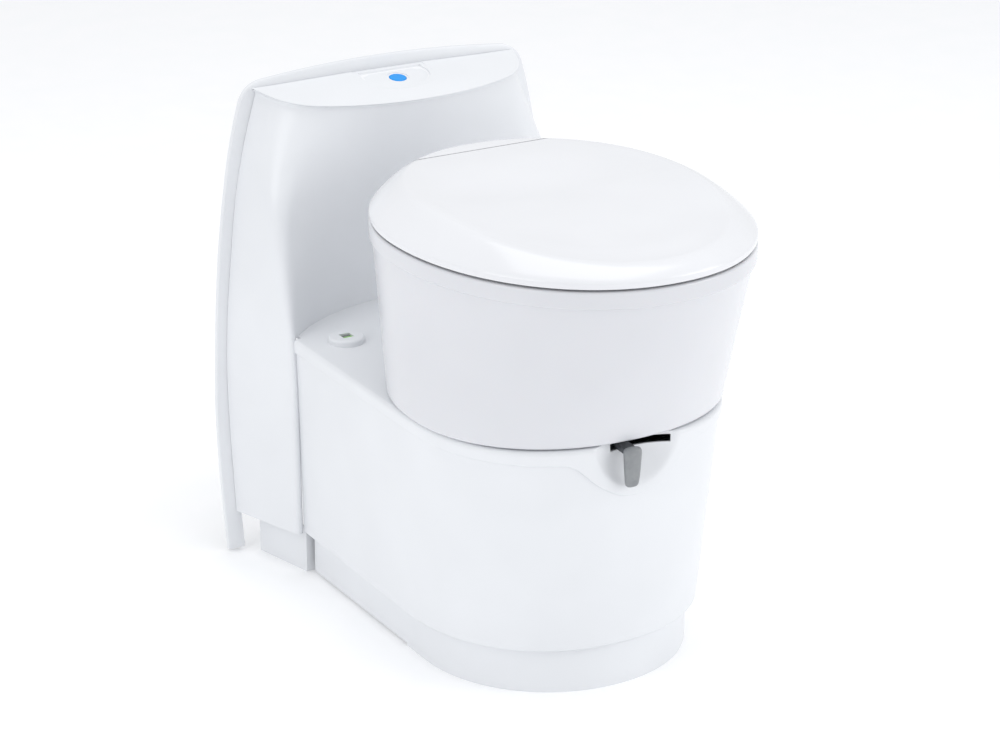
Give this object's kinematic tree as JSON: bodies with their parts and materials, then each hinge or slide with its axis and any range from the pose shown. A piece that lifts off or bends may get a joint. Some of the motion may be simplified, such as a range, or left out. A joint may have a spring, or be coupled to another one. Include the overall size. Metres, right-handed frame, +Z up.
{
  "type": "cassette toilet",
  "caption": "Fixed cassette toilet with a swivelling bowl, hinged seat and lid, electric flush button, valve handle and a waste cassette that slides out behind.",
  "frame": {"origin": "on the floor, midway between the lid's nose and the wall seal, on the centre plane", "axes": "+Z up, -Y towards the user at the front, +X to the left-hand side of someone sitting on it"},
  "size_m": [0.44, 0.613, 0.566],
  "materials": {
    "white_housing": "satin moulded ABS",
    "white_bowl": "polished moulded polypropylene",
    "white_lid": "high-gloss moulded ABS",
    "panel_white": "fine matt film",
    "handle_grey": "satin moulded nylon",
    "button_blue": "gloss",
    "gauge_lens": "clear acrylic",
    "gauge_dial": "matt print",
    "seal_rubber": "matt",
    "buffer_rubber": "matt",
    "foam_seal": "closed-cell foam",
    "tank_grey": "blow-moulded polyethylene",
    "valve_plastic": "moulded polypropylene",
    "acetal_white": "machined acetal",
    "screw_steel": "zinc plated",
    "spring_steel": "drawn wire",
    "board_green": "solder mask",
    "black_plastic": "moulded nylon",
    "hose_clear": "flexible PVC",
    "wire_black": "PVC sheath"
  },
  "bodies": {
    "housing": {"base_shell": "white_housing", "deck_cover": "white_housing", "base_plinth": "white_housing", "rear_foot": "white_housing", "console_shell": "white_housing", "housing_screws": "screw_steel", "wall_seal": "foam_seal", "control_panel": "panel_white", "button_spring": "spring_steel", "control_board": "board_green", "push_switch": "black_plastic", "board_screws": "screw_steel", "solenoid_valve": "black_plastic", "solenoid_coil": "black_plastic", "flush_hose": "hose_clear", "wiring_loom": "wire_black", "hose_clamps": "black_plastic", "fuse_holder": "black_plastic", "level_housing": "white_housing", "level_lens": "gauge_lens", "swivel_bearing": "acetal_white", "mechanism_plate": "valve_plastic", "cassette_rails": "white_housing", "cassette_stop": "white_housing"},
    "bowl": {"bowl_shell": "white_bowl", "bowl_insert": "white_bowl", "flush_nozzle": "white_bowl", "bowl_hose": "hose_clear", "swivel_retainer": "acetal_white", "retainer_screws": "screw_steel", "hinge_bracket": "white_bowl", "hinge_pins": "screw_steel", "hinge_cover": "white_lid"},
    "lid": {"lid_shell": "white_lid", "lid_buffers": "buffer_rubber"},
    "seat": {"seat_ring": "white_lid", "seat_buffers": "buffer_rubber"},
    "button": {"flush_button": "button_blue"},
    "handle": {"handle_ring": "valve_plastic", "blade_handle": "handle_grey"},
    "drive": {"drive_gear": "acetal_white"},
    "dial": {"level_dial": "gauge_dial"},
    "cassette": {"cassette_tank": "tank_grey", "valve_body": "valve_plastic", "valve_screws": "screw_steel", "valve_cover": "valve_plastic", "lip_seal": "seal_rubber", "vent_spring": "spring_steel", "wheel_axles": "valve_plastic"},
    "blade": {"valve_blade": "valve_plastic", "blade_knob": "handle_grey"},
    "cover": {"sliding_cover": "valve_plastic"},
    "float": {"float_arm": "acetal_white"},
    "vent": {"vent_button": "handle_grey"},
    "spout": {"pour_spout": "valve_plastic"},
    "cap": {"spout_cap": "handle_grey", "cap_seal": "seal_rubber"},
    "bail": {"carry_handle": "valve_plastic"},
    "wheels": {"cassette_wheels": "black_plastic"}
  },
  "joints": [
    {"name": "bowl_swivel", "type": "hinge", "parent": "housing", "child": "bowl", "pos_m": [0, -0.0785, 0.2875], "axis": [0, 0, 1], "range_deg": [-90, 90]},
    {"name": "lid_hinge", "type": "hinge", "parent": "bowl", "child": "lid", "pos_m": [0, 0.063, 0.5], "axis": [-1, 0, 0], "range_deg": [0, 95]},
    {"name": "seat_hinge", "type": "hinge", "parent": "bowl", "child": "seat", "pos_m": [0, 0.063, 0.5], "axis": [-1, 0, 0], "range_deg": [0, 87.6]},
    {"name": "button_press", "type": "slide", "parent": "housing", "child": "button", "axis": [0, 0.158, -0.9874], "range_m": [0, 0.0018], "stiffness_N_per_m": 500, "deforming": ["button_spring"]},
    {"name": "handle_turn", "type": "hinge", "parent": "housing", "child": "handle", "pos_m": [0, -0.0785, 0.262], "axis": [0, 0, 1], "range_deg": [0, 16]},
    {"name": "drive_turn", "type": "hinge", "parent": "housing", "child": "drive", "pos_m": [0.075, -0.0785, 0.262], "axis": [0, 0, 1], "range_deg": [-86, 0]},
    {"name": "blade_turn", "type": "hinge", "parent": "cassette", "child": "blade", "pos_m": [0.075, -0.0785, 0.242], "axis": [0, 0, 1], "range_deg": [-86, 0]},
    {"name": "cassette_slide", "type": "slide", "parent": "housing", "child": "cassette", "axis": [0, 1, 0], "range_m": [0, 0.46]},
    {"name": "cover_slide", "type": "slide", "parent": "cassette", "child": "cover", "axis": [0, -1, 0], "range_m": [0, 0.125]},
    {"name": "float_swing", "type": "hinge", "parent": "cassette", "child": "float", "pos_m": [-0.1, 0.15, 0.222], "axis": [-1, 0, 0], "range_deg": [0, 58]},
    {"name": "dial_turn", "type": "hinge", "parent": "housing", "child": "dial", "pos_m": [-0.121, 0.169, 0.288], "axis": [0, 0, 1], "range_deg": [0, 88]},
    {"name": "vent_press", "type": "slide", "parent": "cassette", "child": "vent", "axis": [0, 0, -1], "range_m": [0, 0.004], "stiffness_N_per_m": 200, "deforming": ["vent_spring"]},
    {"name": "spout_turn", "type": "hinge", "parent": "cassette", "child": "spout", "pos_m": [0.085, 0.2, 0.24], "axis": [0, 0, -1], "range_deg": [0, 90]},
    {"name": "cap_turn", "type": "hinge", "parent": "spout", "child": "cap", "pos_m": [-0.007, 0.2, 0.258], "axis": [-1, 0, 0], "range_deg": [0, 270]},
    {"name": "bail_swing", "type": "hinge", "parent": "cassette", "child": "bail", "pos_m": [0, 0.25, 0.196], "axis": [1, 0, 0], "range_deg": [0, 100]},
    {"name": "wheel_spin", "type": "hinge", "parent": "cassette", "child": "wheels", "pos_m": [0, -0.1, 0.036], "axis": [1, 0, 0], "continuous": true}
  ],
  "couplings": [
    {"joint": "seat_hinge", "follows": "lid_hinge", "ratio": 0.92},
    {"joint": "drive_turn", "follows": "handle_turn", "ratio": -5.3},
    {"joint": "blade_turn", "follows": "handle_turn", "ratio": -5.3},
    {"joint": "cover_slide", "follows": "cassette_slide", "ratio": 0.27},
    {"joint": "dial_turn", "follows": "float_swing", "ratio": 1.5}
  ]
}
